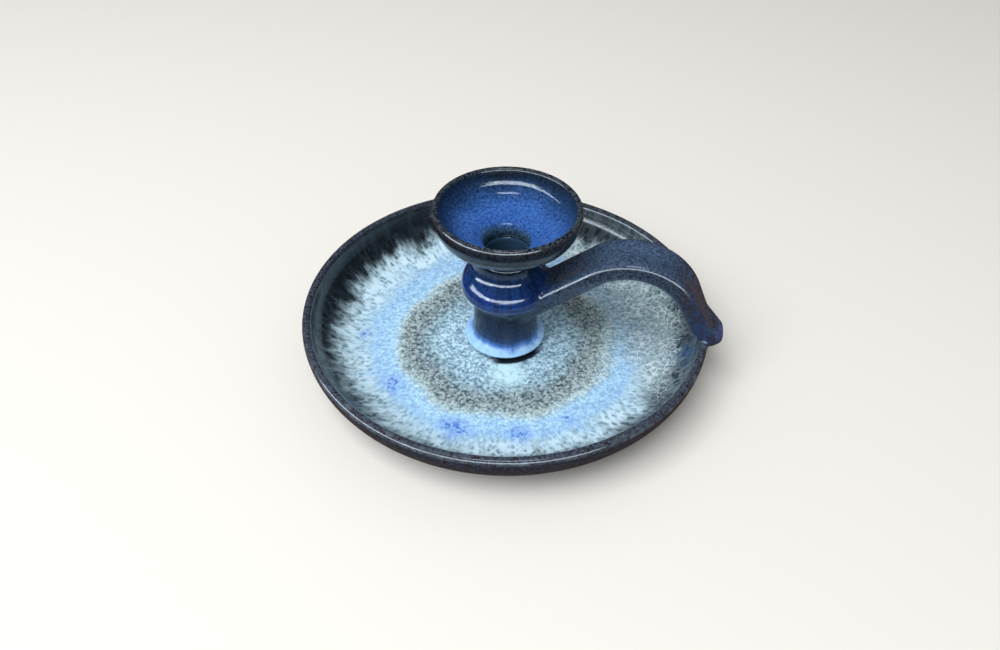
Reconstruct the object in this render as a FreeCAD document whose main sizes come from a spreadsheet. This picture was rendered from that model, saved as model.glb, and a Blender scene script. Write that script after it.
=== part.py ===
import FreeCAD, Part
import math
import os
import re

import Sketcher

# A studio-made chamberstick: a thrown saucer with a turned foot ring, a thrown stem with a bulb
# and a candle socket, a drip cup luted on the stem's neck, and a pulled strap handle that rises
# from the bulb, leaves a loop for the finger and comes down on the saucer's lip.
# Millimetres and degrees. +Z is up, the table is z = 0, the wheel's axis is the Z axis and the
# handle runs out along +X.

doc = FreeCAD.newDocument("chamberstick")

# Driving dimensions, piece by piece
DRIVING = [
    # The saucer
    ("dish_diameter", 200),
    ("dish_rise", 30.2),
    ("lip_thickness", 4.6),
    ("wall_turn_radius", 20),
    ("wall_turn_angle", 46),
    ("dish_floor_thickness", 5.5),
    ("foot_ring_height", 2.5),
    ("foot_ring_diameter", 126),
    ("foot_ring_width", 6),
    ("foot_ring_rounding", 0.8),
    # The slip in the joints: its thickness under a piece, how far it is smoothed out round a
    # handle joint, and the clearance that keeps two curved faces apart
    ("slip_thickness", 0.7),
    ("slip_collar", 1.3),
    ("slip_reach", 2.4),
    ("slip_setback", 0.6),
    ("joint_clearance", 0.1),
    # The stem, from its flanged foot up to the neck
    ("stem_seat_diameter", 35),
    ("stem_foot_diameter", 41.8),
    ("foot_undercut", 1.4),
    ("foot_edge_radius", 0.9),
    ("foot_fillet_radius", 2.6),
    ("stem_base_diameter", 32.6),
    ("waist_diameter", 31),
    ("under_bulb_radius", 4),
    ("bulb_under_radius", 7),
    ("belly_diameter", 43.8),
    ("belly_rise", 34.3),
    ("shoulder_radius", 11),
    ("neck_diameter", 32),
    ("neck_curve_radius", 6),
    ("neck_rise", 6.1),
    # The candle socket, and the hollow turned out of the stem from below
    ("socket_diameter", 20.5),
    ("socket_depth", 26),
    ("socket_corner_radius", 2),
    ("socket_floor_thickness", 7),
    ("hollow_mouth_diameter", 18),
    ("hollow_dome_radius", 6),
    # The drip cup
    ("cup_diameter", 68.9),
    ("cup_wall", 3.2),
    ("cup_turn_radius", 15),
    ("cup_upright", 1.7),
    ("cup_neck_rise", 1.5),
    ("cup_neck_curve", 5),
    ("cup_floor_angle", 18),
    ("throat_clearance", 0.3),
    ("throat_rounding", 4),
    # The strap handle: its slopes, its bends and its section at the root, the arch and the tail
    ("root_inset_share", 0.33),
    ("rise_angle", 40),
    ("fall_angle", 64),
    ("drop_length", 11.2),
    ("tail_bend_radius", 12),
    ("tail_angle", 40),
    ("tail_lead", 8),
    ("tail_overhang", 4.2),
    ("tail_press", 2.4),
    ("tail_rounding", 3.1),
    ("root_width", 24),
    ("root_thickness", 11.8),
    ("shoulder_width", 23.4),
    ("shoulder_thickness", 10.7),
    ("fall_width", 21.4),
    ("fall_thickness", 10.2),
    ("tail_width", 14),
    ("tail_thickness", 10),
    ("strap_corner_radius", 3.2),
    ("channel_angle", 12),
    ("crown_angle", 12),
]

# Sizes that follow from them
DERIVED = [
    ("dish_radius", "dish_diameter / 2"),
    ("lip_radius", "lip_thickness / 2"),
    ("lip_centre_radius", "dish_radius - lip_radius"),
    ("lip_centre_height", "dish_rise - lip_radius"),
    ("lip_inner_radius", "dish_radius - lip_thickness"),
    ("wall_centre_radius", "dish_radius - wall_turn_radius"),
    ("inner_turn_radius", "wall_turn_radius - lip_thickness"),
    ("flare_outer_radius", "wall_centre_radius + wall_turn_radius * cos(wall_turn_angle)"),
    ("flare_outer_height", "lip_centre_height - wall_turn_radius * sin(wall_turn_angle)"),
    ("flare_inner_radius", "wall_centre_radius + inner_turn_radius * cos(wall_turn_angle)"),
    ("flare_inner_height", "lip_centre_height - inner_turn_radius * sin(wall_turn_angle)"),
    ("dish_floor_height", "foot_ring_height + dish_floor_thickness"),
    ("under_curve_radius", "(flare_outer_height - foot_ring_height) / (1 - sin(wall_turn_angle))"),
    ("under_flat_radius", "flare_outer_radius - under_curve_radius * cos(wall_turn_angle)"),
    ("floor_curve_radius", "(flare_inner_height - dish_floor_height) / (1 - sin(wall_turn_angle))"),
    ("floor_flat_radius", "flare_inner_radius - floor_curve_radius * cos(wall_turn_angle)"),
    ("foot_ring_outer", "foot_ring_diameter / 2"),
    ("foot_ring_inner", "foot_ring_outer - foot_ring_width"),
    ("foot_ring_top", "foot_ring_height + dish_floor_thickness / 2"),

    ("stem_seat_height", "dish_floor_height + slip_thickness"),
    ("stem_seat_radius", "stem_seat_diameter / 2"),
    ("stem_foot_radius", "stem_foot_diameter / 2"),
    ("foot_edge_height", "stem_seat_height + foot_undercut + foot_edge_radius"),
    ("stem_base_radius", "stem_base_diameter / 2"),
    ("foot_top_height", "foot_edge_height + foot_edge_radius"),
    ("stem_base_height", "foot_top_height + foot_fillet_radius"),
    ("waist_radius", "waist_diameter / 2"),
    ("belly_radius", "belly_diameter / 2"),
    ("belly_height", "stem_seat_height + belly_rise"),
    ("under_centre_radius", "belly_radius - bulb_under_radius"),
    ("under_reach", "bulb_under_radius + under_bulb_radius"),
    ("under_run", "waist_radius + under_bulb_radius - under_centre_radius"),
    ("under_drop", "sqrt(under_reach ^ 2 - under_run ^ 2)"),
    ("neck_radius", "neck_diameter / 2"),
    ("shoulder_centre_radius", "belly_radius - shoulder_radius"),
    ("shoulder_reach", "shoulder_radius + neck_curve_radius"),
    ("shoulder_run", "neck_radius + neck_curve_radius - shoulder_centre_radius"),
    ("shoulder_climb", "sqrt(shoulder_reach ^ 2 - shoulder_run ^ 2)"),
    ("neck_height", "belly_height + shoulder_climb"),
    ("stem_top", "neck_height + neck_rise"),

    ("socket_radius", "socket_diameter / 2"),
    ("socket_floor_height", "stem_top - socket_depth"),
    ("hollow_top", "socket_floor_height - socket_floor_thickness"),
    ("hollow_mouth_radius", "hollow_mouth_diameter / 2"),

    ("cup_radius", "cup_diameter / 2"),
    ("cup_seat_height", "stem_top + slip_thickness"),
    ("cup_neck_height", "cup_seat_height + cup_neck_rise"),
    ("cup_turn_centre", "cup_radius - cup_turn_radius"),
    ("cup_under_reach", "cup_turn_radius + cup_neck_curve"),
    ("cup_under_run", "neck_radius + cup_neck_curve - cup_turn_centre"),
    ("cup_under_climb", "sqrt(cup_under_reach ^ 2 - cup_under_run ^ 2)"),
    ("cup_turn_height", "cup_neck_height + cup_under_climb"),
    ("cup_rim_height", "cup_turn_height + cup_upright"),
    ("cup_inner_turn", "cup_turn_radius - cup_wall"),
    ("throat_radius", "socket_radius + throat_clearance"),
    ("cup_floor_edge_radius", "cup_turn_centre + cup_inner_turn * sin(cup_floor_angle)"),
    ("cup_floor_edge_height", "cup_turn_height - cup_inner_turn * cos(cup_floor_angle)"),
    ("throat_edge_radius", "throat_radius + throat_rounding * (1 - sin(cup_floor_angle))"),
    ("throat_edge_height", "cup_floor_edge_height"
        " - (cup_floor_edge_radius - throat_edge_radius) * tan(cup_floor_angle)"),
    ("throat_height", "throat_edge_height - throat_rounding * cos(cup_floor_angle)"),

    ("root_inset", "waist_radius * root_inset_share"),
    ("root_height", "belly_height - (belly_radius - root_inset) * tan(rise_angle)"),
    ("tail_lift", "lip_radius + tail_thickness / 2 - tail_press"),
    ("tail_over_x", "lip_centre_radius + tail_lift * sin(tail_angle)"),
    ("tail_over_z", "lip_centre_height + tail_lift * cos(tail_angle)"),
    ("tail_end_x", "tail_over_x + tail_overhang * cos(tail_angle)"),
    ("tail_end_z", "tail_over_z - tail_overhang * sin(tail_angle)"),
    ("tail_start_x", "tail_over_x - tail_lead * cos(tail_angle)"),
    ("tail_start_z", "tail_over_z + tail_lead * sin(tail_angle)"),
    ("drop_end_x", "tail_start_x - tail_bend_radius * (sin(fall_angle) - sin(tail_angle))"),
    ("drop_end_z", "tail_start_z + tail_bend_radius * (cos(tail_angle) - cos(fall_angle))"),
    ("arch_end_x", "drop_end_x - drop_length * cos(fall_angle)"),
    ("arch_end_z", "drop_end_z + drop_length * sin(fall_angle)"),
    # The arch radius that joins the rising and the falling slope, and where the rise ends
    ("arch_radius", "(sin(rise_angle) * (arch_end_x - root_inset)"
        " - cos(rise_angle) * (arch_end_z - root_height)) / (1 - cos(rise_angle + fall_angle))"),
    ("arch_start_x", "arch_end_x - arch_radius * (sin(rise_angle) + sin(fall_angle))"),
    ("arch_start_z", "arch_end_z - arch_radius * (cos(fall_angle) - cos(rise_angle))"),
]

sizes = doc.addObject("Spreadsheet::Sheet", "sizes")
sizes.Label = "Sizes"
row = 0
for name, value in DRIVING:
    row += 1
    sizes.set(f"A{row}", name)
    sizes.set(f"B{row}", str(value))
    sizes.setAlias(f"B{row}", name)
for name, formula in DERIVED:
    row += 1
    sizes.set(f"A{row}", name)
    sizes.set(f"B{row}", "=" + formula)
    sizes.setAlias(f"B{row}", name)
doc.recompute()

ALIASES = {name for name, content in DRIVING + DERIVED}


# Sketches
def bound(text):
    """An expression in the sheet's words, as an object of the document reads it."""
    return re.sub(r"[a-z_]+", lambda word: "sizes." + word[0] if word[0] in ALIASES else word[0], text)


def origin_plane(body, role):
    return [feature for feature in body.Origin.OriginFeatures if feature.Role == role][0]


def arc_between(start, end, radius, side):
    """The shorter arc from start to end; side is 1 where it turns left and -1 where it turns right."""
    chord = end - start
    middle = (start + end) / 2
    rise = math.sqrt(max(radius ** 2 - (chord.Length / 2) ** 2, 0))
    across = FreeCAD.Vector(-chord.y, chord.x, 0).normalize()
    centre = middle + across * rise * side
    first, last = (start, end) if side > 0 else (end, start)
    angles = [math.atan2(point.y - centre.y, point.x - centre.x) for point in (first, last)]
    if angles[1] < angles[0]:
        angles[1] += math.tau
    return Part.ArcOfCircle(Part.Circle(centre, FreeCAD.Vector(0, 0, 1), radius), angles[0], angles[1])


def outline(body, name, plane, corners, closed=True):
    """A sketch through corners. Each corner is (across, up), with the radius of the arc that leaves
    it and "left" or "right" for its turn where the next stretch is round."""
    sketch = body.newObject("Sketcher::SketchObject", name)
    sketch.AttachmentSupport = [(origin_plane(body, plane), "")]
    sketch.MapMode = "FlatFace"
    places = [FreeCAD.Vector(sketch.evalExpression(bound(corner[0])),
                             sketch.evalExpression(bound(corner[1])), 0) for corner in corners]
    count = len(corners) if closed else len(corners) - 1
    ends = []
    for index in range(count):
        start, end = places[index], places[(index + 1) % len(corners)]
        if len(corners[index]) == 2:
            sketch.addGeometry(Part.LineSegment(start, end), False)
            ends.append((1, 2))
        else:
            side = 1 if corners[index][3] == "left" else -1
            radius = sketch.evalExpression(bound(corners[index][2]))
            sketch.addGeometry(arc_between(start, end, float(radius), side), False)
            ends.append((1, 2) if side > 0 else (2, 1))
    for index in range(count):
        pin(sketch, index, ends[index][0], corners[index])
        if len(corners[index]) == 4:
            radius = float(sketch.evalExpression(bound(corners[index][2])))
            added = sketch.addConstraint(Sketcher.Constraint("Radius", index, radius))
            sketch.setExpression(f"Constraints[{added}]", bound(corners[index][2]))
        if index + 1 < count or closed:
            following = (index + 1) % count
            sketch.addConstraint(Sketcher.Constraint(
                "Coincident", index, ends[index][1], following, ends[following][0]))
        else:
            pin(sketch, index, ends[index][1], corners[index + 1])
    return sketch


def pin(sketch, edge, end, corner):
    """Holds one end of an edge at its named place."""
    for kind, axis, text in (("DistanceX", -2, corner[0]), ("DistanceY", -1, corner[1])):
        if text == "0":
            sketch.addConstraint(Sketcher.Constraint("PointOnObject", edge, end, axis))
        else:
            value = float(sketch.evalExpression(bound(text)))
            added = sketch.addConstraint(Sketcher.Constraint(kind, -1, 1, edge, end, value))
            sketch.setExpression(f"Constraints[{added}]", bound(text))


def new_body(label):
    body = doc.addObject("PartDesign::Body", label)
    body.Label = label
    return body


def turned(body, name, corners):
    """A solid turned about the wheel's axis from an outline of radius and height."""
    sketch = outline(body, name + "_outline", "XZ_Plane", corners)
    feature = body.newObject("PartDesign::Revolution", name)
    feature.Profile = sketch
    feature.ReferenceAxis = (sketch, ["V_Axis"])
    feature.Angle = 360
    doc.recompute()
    return feature


# Dish: the thrown saucer, with its foot ring turned from the thick clay under the floor
dish = new_body("dish")
turned(dish, "dish_saucer", [
    ("0", "foot_ring_height"),
    ("under_flat_radius", "foot_ring_height", "under_curve_radius", "left"),
    ("flare_outer_radius", "flare_outer_height", "wall_turn_radius", "left"),
    ("dish_radius", "lip_centre_height", "lip_radius", "left"),
    ("lip_centre_radius", "dish_rise", "lip_radius", "left"),
    ("lip_inner_radius", "lip_centre_height", "inner_turn_radius", "right"),
    ("flare_inner_radius", "flare_inner_height", "floor_curve_radius", "right"),
    ("floor_flat_radius", "dish_floor_height"),
    ("0", "dish_floor_height"),
])
foot_ring = turned(dish, "dish_foot_ring", [
    ("foot_ring_inner", "0"),
    ("foot_ring_outer", "0"),
    ("foot_ring_outer", "foot_ring_top"),
    ("foot_ring_inner", "foot_ring_top"),
])
ring_edges = [f"Edge{number}" for number, edge in enumerate(foot_ring.Shape.Edges, 1)
              if edge.BoundBox.ZMax < sizes.foot_ring_rounding / 2]
ring_rounding = dish.newObject("PartDesign::Fillet", "dish_foot_rounding")
ring_rounding.Base = (foot_ring, ring_edges)
ring_rounding.setExpression("Radius", bound("foot_ring_rounding"))

# Stem slip: the bed of slip under the stem, set back from the edge of its seat
stem_slip = new_body("stem_slip")
turned(stem_slip, "stem_slip_bed", [
    ("hollow_mouth_radius + slip_setback", "dish_floor_height"),
    ("stem_seat_radius - slip_setback", "dish_floor_height"),
    ("stem_seat_radius - slip_setback", "stem_seat_height"),
    ("hollow_mouth_radius + slip_setback", "stem_seat_height"),
])


# Stem: flanged foot, waist, bulb and neck
def stem_side(growth):
    """The side of the stem from its base up to its top, grown outwards."""
    return [
        (f"stem_base_radius + {growth}", "stem_base_height"),
        (f"waist_radius + {growth}", "belly_height - under_drop", f"under_bulb_radius - {growth}", "right"),
        (f"under_centre_radius + (bulb_under_radius + {growth}) * under_run / under_reach",
         f"belly_height - (bulb_under_radius + {growth}) * under_drop / under_reach",
         f"bulb_under_radius + {growth}", "left"),
        (f"belly_radius + {growth}", "belly_height", f"shoulder_radius + {growth}", "left"),
        (f"shoulder_centre_radius + (shoulder_radius + {growth}) * shoulder_run / shoulder_reach",
         f"belly_height + (shoulder_radius + {growth}) * shoulder_climb / shoulder_reach",
         f"neck_curve_radius - {growth}", "right"),
        (f"neck_radius + {growth}", "neck_height"),
        (f"neck_radius + {growth}", "stem_top"),
    ]


stem = new_body("stem")
turned(stem, "stem_thrown", [
    ("hollow_mouth_radius", "stem_seat_height"),
    ("stem_seat_radius", "stem_seat_height"),
    ("stem_foot_radius - foot_edge_radius", "foot_edge_height - foot_edge_radius", "foot_edge_radius", "left"),
    ("stem_foot_radius", "foot_edge_height", "foot_edge_radius", "left"),
    ("stem_foot_radius - foot_edge_radius", "foot_top_height"),
    ("stem_base_radius + foot_fillet_radius", "foot_top_height", "foot_fillet_radius", "right"),
    *stem_side("0"),
    ("socket_radius", "stem_top"),
    ("socket_radius", "socket_floor_height + socket_corner_radius", "socket_corner_radius", "right"),
    ("socket_radius - socket_corner_radius", "socket_floor_height"),
    ("0", "socket_floor_height"),
    ("0", "hollow_top", "hollow_dome_radius", "right"),
    ("hollow_dome_radius", "hollow_top - hollow_dome_radius"),
])

# Cup slip: the ring of slip between the neck and the drip cup
cup_slip = new_body("cup_slip")
turned(cup_slip, "cup_slip_ring", [
    ("throat_radius + slip_setback", "stem_top"),
    ("neck_radius - slip_setback", "stem_top"),
    ("neck_radius - slip_setback", "cup_seat_height"),
    ("throat_radius + slip_setback", "cup_seat_height"),
])

# Drip cup: a rounded bowl with an upright rim, whose floor falls to a rounded throat
drip_cup = new_body("drip_cup")
turned(drip_cup, "drip_cup_thrown", [
    ("throat_radius", "cup_seat_height"),
    ("neck_radius", "cup_seat_height"),
    ("neck_radius", "cup_neck_height", "cup_neck_curve", "right"),
    ("cup_turn_centre + cup_turn_radius * cup_under_run / cup_under_reach",
     "cup_turn_height - cup_turn_radius * cup_under_climb / cup_under_reach",
     "cup_turn_radius", "left"),
    ("cup_radius", "cup_turn_height"),
    ("cup_radius", "cup_rim_height", "cup_wall / 2", "left"),
    ("cup_radius - cup_wall / 2", "cup_rim_height + cup_wall / 2", "cup_wall / 2", "left"),
    ("cup_radius - cup_wall", "cup_rim_height"),
    ("cup_radius - cup_wall", "cup_turn_height", "cup_inner_turn", "right"),
    ("cup_floor_edge_radius", "cup_floor_edge_height"),
    ("throat_edge_radius", "throat_edge_height", "throat_rounding", "left"),
    ("throat_radius", "throat_height"),
])


# Handle: a pulled strap, swept along its arch while it tapers from root to tail. A thumb channel
# runs along its top, and its underside is crowned.
def strap_section(body, name, growth, width, thickness, along, up, slope):
    """The strap's section, square to a slope at one place of the arch, grown outwards."""
    side = f"({width} / 2 + {growth})"
    corner = f"(strap_corner_radius + {growth})"
    flank = f"({thickness} / 2 - strap_corner_radius)"
    channel = f"({side} - {corner} * (1 + sin(channel_angle)))"
    channel_up = f"({flank} + {corner} * cos(channel_angle))"
    crown = f"({side} - {corner} * (1 - sin(crown_angle)))"
    crown_up = f"({flank} + {corner} * cos(crown_angle))"
    sketch = outline(body, name, "YZ_Plane", [
        (side, f"-{flank}"),
        (side, flank, corner, "left"),
        (channel, channel_up, f"{channel} / sin(channel_angle)", "right"),
        (f"-{channel}", channel_up, corner, "left"),
        (f"-{side}", flank),
        (f"-{side}", f"-{flank}", corner, "left"),
        (f"-{crown}", f"-{crown_up}", f"{crown} / sin(crown_angle)", "left"),
        (crown, f"-{crown_up}", corner, "left"),
    ])
    sketch.AttachmentOffset = FreeCAD.Placement(
        FreeCAD.Vector(0, float(sizes.get(up)), float(sizes.get(along))),
        FreeCAD.Rotation(FreeCAD.Vector(1, 0, 0), float(sketch.evalExpression(bound(slope)))))
    sketch.setExpression("AttachmentOffset.Base.y", bound(up))
    sketch.setExpression("AttachmentOffset.Base.z", bound(along))
    sketch.setExpression("AttachmentOffset.Rotation.Angle", bound(slope))
    return sketch


def strap(label, growth):
    """The whole strap from inside the stem to its tail, grown outwards."""
    body = new_body(label)
    arch = outline(body, label + "_arch", "XZ_Plane", [
        ("root_inset", "root_height"),
        ("arch_start_x", "arch_start_z", "arch_radius", "right"),
        ("arch_end_x", "arch_end_z"),
        ("drop_end_x", "drop_end_z", "tail_bend_radius", "left"),
        ("tail_start_x", "tail_start_z"),
        ("tail_end_x", "tail_end_z"),
    ], closed=False)
    root = strap_section(body, label + "_root", growth, "root_width", "root_thickness",
                         "root_inset", "root_height", "-rise_angle")
    places = [
        ("shoulder", "shoulder_width", "shoulder_thickness", "arch_start_x", "arch_start_z", "-rise_angle"),
        ("fall", "fall_width", "fall_thickness", "arch_end_x", "arch_end_z", "fall_angle"),
        ("tail", "tail_width", "tail_thickness", "tail_end_x", "tail_end_z", "tail_angle"),
    ]
    sections = [strap_section(body, f"{label}_{place[0]}", growth, *place[1:]) for place in places]
    doc.recompute()
    pulled = body.newObject("PartDesign::AdditivePipe", label + "_pulled")
    pulled.Profile = root
    pulled.Spine = (arch, [f"Edge{number}" for number in range(1, len(arch.Shape.Edges) + 1)])
    pulled.Transformation = "Multisection"
    pulled.Sections = [(section, [""]) for section in sections]
    doc.recompute()
    return body, pulled


def lip_band(label, growth):
    """A ring of the dish's lip and upper wall, grown on all sides."""
    body = new_body(label)
    turned(body, label + "_ring", [
        (f"wall_centre_radius + (inner_turn_radius - {growth}) * cos(wall_turn_angle)",
         f"lip_centre_height - (inner_turn_radius - {growth}) * sin(wall_turn_angle)"),
        (f"wall_centre_radius + (wall_turn_radius + {growth}) * cos(wall_turn_angle)",
         f"lip_centre_height - (wall_turn_radius + {growth}) * sin(wall_turn_angle)",
         f"wall_turn_radius + {growth}", "left"),
        (f"dish_radius + {growth}", "lip_centre_height", f"lip_radius + {growth}", "left"),
        ("lip_centre_radius", f"dish_rise + {growth}", f"lip_radius + {growth}", "left"),
        (f"lip_inner_radius - {growth}", "lip_centre_height", f"inner_turn_radius - {growth}", "right"),
    ])
    return body


def stem_form(label, growth):
    """The stem's side as a full solid, grown outwards."""
    body = new_body(label)
    turned(body, label + "_side", [
        ("0", "stem_base_height"),
        *stem_side(growth),
        ("0", "stem_top"),
    ])
    return body


def boolean(kind, label, base, tool):
    result = doc.addObject("Part::" + kind, label)
    result.Label = label
    result.Base = base
    result.Tool = tool
    doc.recompute()
    return result


strap_body, strap_pulled = strap("strap", "0")
tail_faces = sorted(strap_pulled.Shape.Faces, key=lambda face: face.CenterOfMass.x)
tail_edges = [f"Edge{number}" for number, edge in enumerate(strap_pulled.Shape.Edges, 1)
              if any(edge.isSame(other) for other in tail_faces[-1].Edges)]
tail_end = strap_body.newObject("PartDesign::Fillet", "strap_tail_rounding")
tail_end.Base = (strap_pulled, tail_edges)
tail_end.setExpression("Radius", bound("tail_rounding"))
doc.recompute()

strap_at_stem = boolean("Cut", "strap_at_stem", strap_body, stem_form("stem_seat_form", "slip_thickness"))
handle = boolean("Cut", "handle", strap_at_stem, lip_band("lip_seat_form", "slip_thickness"))

# Slip round the handle's two joints: what lies near the stem or the lip, inside a slightly
# fatter strap, and outside the handle itself
fat_strap, fat_pulled = strap("fat_strap", "slip_collar")

root_collar = boolean("Common", "root_collar", fat_strap, stem_form("root_collar_form", "slip_reach"))
root_ring = boolean("Cut", "root_ring", root_collar, stem_form("stem_skin_form", "joint_clearance"))
root_slip = boolean("Cut", "root_slip", root_ring, handle)

tail_collar = boolean("Common", "tail_collar", fat_strap, lip_band("tail_collar_form", "slip_reach"))
tail_ring = boolean("Cut", "tail_ring", tail_collar, lip_band("lip_skin_form", "joint_clearance"))
tail_slip = boolean("Cut", "tail_slip", tail_ring, handle)

# Check, then write one file for each piece
doc.recompute()
PIECES = [dish, stem_slip, stem, cup_slip, drip_cup, handle, root_slip, tail_slip]
for item in doc.Objects:
    if "Invalid" in item.State or "Error" in item.State:
        raise RuntimeError(f"{item.Name} is {item.State}")
for piece in PIECES:
    if piece.Shape.isNull() or not piece.Shape.isValid():
        raise RuntimeError(f"{piece.Label} has no valid shape")
os.makedirs("parts", exist_ok=True)
for piece in PIECES:
    box = piece.Shape.BoundBox
    print(f"{piece.Label}: {len(piece.Shape.Solids)} solid, {piece.Shape.Volume:.0f} mm3,"
          f" x {box.XMin:.1f} to {box.XMax:.1f}, z {box.ZMin:.1f} to {box.ZMax:.1f}")
    piece.Shape.exportStep(os.path.join("parts", piece.Label + ".step"))
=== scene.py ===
# %% [markdown]
# # A glazed chamberstick with a finger loop
#
# A potter makes this candle holder from four thrown and pulled parts: a low saucer, a stem with a
# bulb and a candle socket, a drip cup, and a strap handle that arches from the bulb to the saucer's
# lip. Slip joins them, and one coat of blue rutile glaze covers them. The CAD model holds the
# pieces at their real size. This script keeps their form and gives them the skin: soft edges,
# throwing rings, joints wiped smooth, and a glaze that changes with its thickness.

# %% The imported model
import math

import bmesh
import bpy
import numpy as np
from mathutils import Matrix, Vector
from mathutils.bvhtree import BVHTree


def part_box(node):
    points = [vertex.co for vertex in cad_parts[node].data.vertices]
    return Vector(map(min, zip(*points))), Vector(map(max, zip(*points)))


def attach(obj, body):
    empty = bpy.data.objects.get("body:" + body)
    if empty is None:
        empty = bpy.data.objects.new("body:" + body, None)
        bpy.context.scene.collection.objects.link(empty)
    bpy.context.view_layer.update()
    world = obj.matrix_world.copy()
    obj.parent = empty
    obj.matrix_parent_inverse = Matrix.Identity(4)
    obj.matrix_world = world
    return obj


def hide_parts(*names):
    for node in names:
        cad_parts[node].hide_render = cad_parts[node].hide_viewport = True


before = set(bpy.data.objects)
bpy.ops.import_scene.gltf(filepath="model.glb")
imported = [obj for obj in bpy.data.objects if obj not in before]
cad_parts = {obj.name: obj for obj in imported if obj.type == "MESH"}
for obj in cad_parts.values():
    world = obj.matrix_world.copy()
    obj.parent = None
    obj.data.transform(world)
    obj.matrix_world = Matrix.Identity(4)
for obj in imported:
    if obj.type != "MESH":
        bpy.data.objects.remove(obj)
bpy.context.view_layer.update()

MM = 0.001
print("CAD nodes:", ", ".join(sorted(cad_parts)))

# %% [markdown]
# ## The turned outline
#
# Everything thrown on the wheel is a solid of revolution. Its outline could be typed again as a
# list of points, but then the finish and the CAD model could drift apart. Here a plane cuts the
# CAD solid along the wheel's axis, and the cut is the outline. It is then spaced evenly and
# softened a little, because a fired glaze never leaves a sharp corner.

# %% Cutting an outline out of a node
CUT_AZIMUTH = math.radians(100.3)
WELD = 0.001 * MM


def section(node):
    """Points (radius, height) of a turned node's outline, in order, and whether it is a loop."""
    across = Vector((math.cos(CUT_AZIMUTH), math.sin(CUT_AZIMUTH), 0))
    cut = bmesh.new()
    cut.from_mesh(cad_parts[node].data)
    bmesh.ops.remove_doubles(cut, verts=cut.verts, dist=WELD)
    bmesh.ops.bisect_plane(cut, geom=cut.verts[:] + cut.edges[:] + cut.faces[:], plane_co=(0, 0, 0),
                           plane_no=across.cross((0, 0, 1)), clear_inner=True, clear_outer=True)
    radius = {vertex: vertex.co.dot(across) for vertex in cut.verts}
    ends = [edge for edge in cut.edges if radius[edge.verts[0]] * radius[edge.verts[1]] < 0]
    if ends:
        axis_edge = min(ends, key=lambda edge: edge.verts[0].co.z)
        here = max(axis_edge.verts, key=radius.get)
        points, came_by = [(0.0, here.co.z)], axis_edge
    else:
        here = max(radius, key=radius.get)
        points, came_by = [], None
    first = here
    while radius[here] > 0:
        points.append((radius[here], here.co.z))
        came_by = [edge for edge in here.link_edges if edge != came_by][0]
        here = came_by.other_vert(here)
        if here == first:
            break
    if ends:
        points.append((0.0, points[-1][1]))
    cut.free()
    return np.array(points), not ends


def spaced(points, step, loop):
    """The same outline with its points evenly spaced."""
    if loop:
        points = np.vstack([points, points[:1]])
    along = np.concatenate([[0], np.cumsum(np.linalg.norm(np.diff(points, axis=0), axis=1))])
    count = int(round(along[-1] / step))
    places = np.linspace(0, along[-1], count + 1)
    even = np.stack([np.interp(places, along, points[:, axis]) for axis in (0, 1)], axis=1)
    return even[:-1] if loop else even


def softened(points, passes, loop):
    """The outline with its corners eased by averaging each point with its neighbours."""
    for _ in range(passes):
        before, after = np.roll(points, 1, axis=0), np.roll(points, -1, axis=0)
        eased = (before + 2 * points + after) / 4
        if not loop:
            eased[0], eased[-1] = points[0], points[-1]
        points = eased
    return points


for turned_node in ("dish", "stem", "drip_cup"):
    outline_points, is_loop = section(turned_node)
    print(f"{turned_node}: {len(outline_points)} points, closed {is_loop}")

# %% [markdown]
# ## Throwing
#
# A mesh for a thrown piece is a grid: one way round the wheel, the other way along the outline. It
# could be a Screw modifier, but a grid built in code can also carry what the wheel leaves behind: a
# spiral of low ridges from the fingers, and a rim that isn't perfectly round or level.

# %% A turned grid
OUTLINE_STEP = 0.7 * MM
EASING_PASSES = 5


def new_piece(name, points, faces):
    """A smooth-shaded mesh object in the scene."""
    mesh = bpy.data.meshes.new(name)
    mesh.from_pydata([tuple(point) for point in points], [], faces)
    mesh.validate()
    tidy = bmesh.new()
    tidy.from_mesh(mesh)
    bmesh.ops.recalc_face_normals(tidy, faces=tidy.faces)
    tidy.to_mesh(mesh)
    tidy.free()
    mesh.polygons.foreach_set("use_smooth", [True] * len(mesh.polygons))
    piece = bpy.data.objects.new(name, mesh)
    bpy.context.scene.collection.objects.link(piece)
    return piece


def turned_grid(name, points, loop):
    """A mesh from points[ring, column]. Rings go round the wheel. An outline that is no loop
    starts and ends on the axis, and is closed there."""
    around, columns = points.shape[:2]
    kept = points if loop else points[:, 1:-1]
    wide = kept.shape[1]
    faces = []
    for ring in range(around):
        here, after = ring * wide, (ring + 1) % around * wide
        for column in range(wide if loop else wide - 1):
            beside = (column + 1) % wide
            faces.append((here + column, after + column, after + beside, here + beside))
    places = list(kept.reshape(-1, 3))
    if not loop:
        for column, end in ((0, 0), (wide - 1, columns - 1)):
            faces += [(ring * wide + column, (ring + 1) % around * wide + column, len(places))
                      for ring in range(around)]
            places.append(points[:, end].mean(axis=0))
    piece = new_piece(name, places, faces)
    print(f"{name}: {len(places)} points, {len(faces)} faces")
    return piece


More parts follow.
